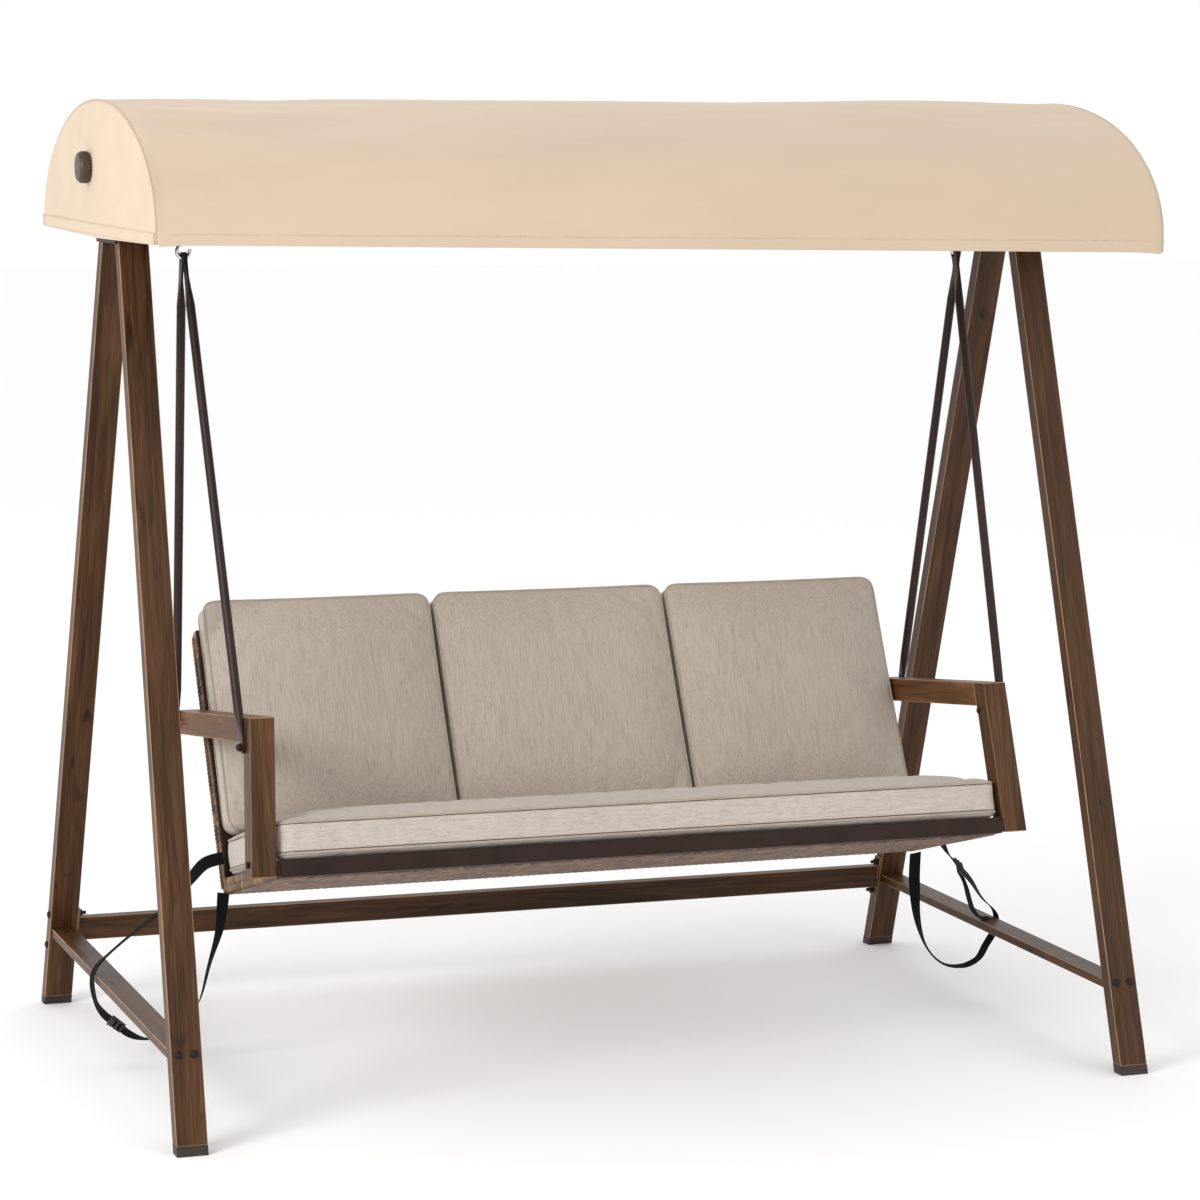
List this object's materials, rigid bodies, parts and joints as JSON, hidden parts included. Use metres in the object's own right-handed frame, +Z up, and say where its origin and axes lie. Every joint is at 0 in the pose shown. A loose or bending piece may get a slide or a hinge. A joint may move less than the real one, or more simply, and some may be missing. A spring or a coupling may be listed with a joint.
{
  "type": "canopy swing bench",
  "caption": "Garden swing bench hung on rods from a wood-grain A-frame, with cushions and an arched tilting fabric canopy.",
  "frame": {"origin": "on the floor, midway between the four feet", "axes": "+X to the right seen from the front, -Y out of the front of the bench, +Z up"},
  "size_m": [2.09, 1.2214, 1.93],
  "materials": {
    "wood_print_steel": "satin steel tube with a printed brown wood grain",
    "dark_steel": "satin dark brown powder coat",
    "rod_steel": "satin dark brown powder coat",
    "bright_steel": "bright zinc plate",
    "dark_plastic": "matte",
    "canopy_cloth": "plain woven polyester, beige",
    "cushion_cloth": "coarse linen weave, greige",
    "woven_resin": "woven tan and brown resin",
    "webbing": "black woven webbing"
  },
  "bodies": {
    "stand": {"leg_front_left": "wood_print_steel", "foot_cap_front_left": "dark_plastic", "apex_bolt_front_left": "dark_steel", "leg_rear_left": "wood_print_steel", "foot_cap_rear_left": "dark_plastic", "apex_bolt_rear_left": "dark_steel", "side_rail_left": "wood_print_steel", "rail_bolt_left_1": "dark_steel", "rail_bolt_left_2": "dark_steel", "crossbar_bolt_left_lower": "dark_steel", "crossbar_bolt_left_upper": "dark_steel", "canopy_bracket_left": "dark_steel", "swing_hook_left": "bright_steel", "strap_left": "webbing", "strap_buckle_left": "dark_plastic", "leg_front_right": "wood_print_steel", "foot_cap_front_right": "dark_plastic", "apex_bolt_front_right": "dark_steel", "leg_rear_right": "wood_print_steel", "foot_cap_rear_right": "dark_plastic", "apex_bolt_rear_right": "dark_steel", "side_rail_right": "wood_print_steel", "rail_bolt_right_1": "dark_steel", "rail_bolt_right_2": "dark_steel", "crossbar_bolt_right_lower": "dark_steel", "crossbar_bolt_right_upper": "dark_steel", "canopy_bracket_right": "dark_steel", "swing_hook_right": "bright_steel", "strap_right": "webbing", "strap_buckle_right": "dark_plastic", "rear_crossbar": "wood_print_steel", "top_beam": "wood_print_steel"},
    "swing_seat": {"rod_front_left": "rod_steel", "rod_bolt_front_left": "dark_steel", "rod_rear_left": "rod_steel", "rod_bolt_rear_left": "dark_steel", "arm_post_left": "wood_print_steel", "armrest_left": "wood_print_steel", "rod_front_right": "rod_steel", "rod_bolt_front_right": "dark_steel", "rod_rear_right": "rod_steel", "rod_bolt_rear_right": "dark_steel", "arm_post_right": "wood_print_steel", "armrest_right": "wood_print_steel", "seat_frame": "dark_steel", "back_frame": "dark_steel", "seat_panel": "woven_resin", "back_panel": "woven_resin", "seat_cushion": "cushion_cloth", "back_cushion_left": "cushion_cloth", "back_cushion_middle": "cushion_cloth", "back_cushion_right": "cushion_cloth"},
    "canopy": {"canopy_rib_left": "wood_print_steel", "canopy_rib_right": "wood_print_steel", "canopy_rod_front": "wood_print_steel", "canopy_rod_rear": "wood_print_steel", "canopy_rod_ridge": "wood_print_steel", "canopy_fabric": "canopy_cloth"},
    "knob_left": {"canopy_knob_left": "dark_plastic"},
    "knob_right": {"canopy_knob_right": "dark_plastic"}
  },
  "joints": [
    {"name": "swing", "type": "hinge", "parent": "stand", "child": "swing_seat", "pos_m": [0, 0, 1.624], "axis": [1, 0, 0], "range_deg": [-15, 15]},
    {"name": "canopy_tilt", "type": "hinge", "parent": "stand", "child": "canopy", "pos_m": [0, 0, 1.8], "axis": [1, 0, 0], "range_deg": [-25, 25]},
    {"name": "knob_left_turn", "type": "hinge", "parent": "canopy", "child": "knob_left", "pos_m": [-1.02, 0, 1.8], "axis": [1, 0, 0], "continuous": true},
    {"name": "knob_right_turn", "type": "hinge", "parent": "canopy", "child": "knob_right", "pos_m": [1.02, 0, 1.8], "axis": [1, 0, 0], "continuous": true}
  ]
}
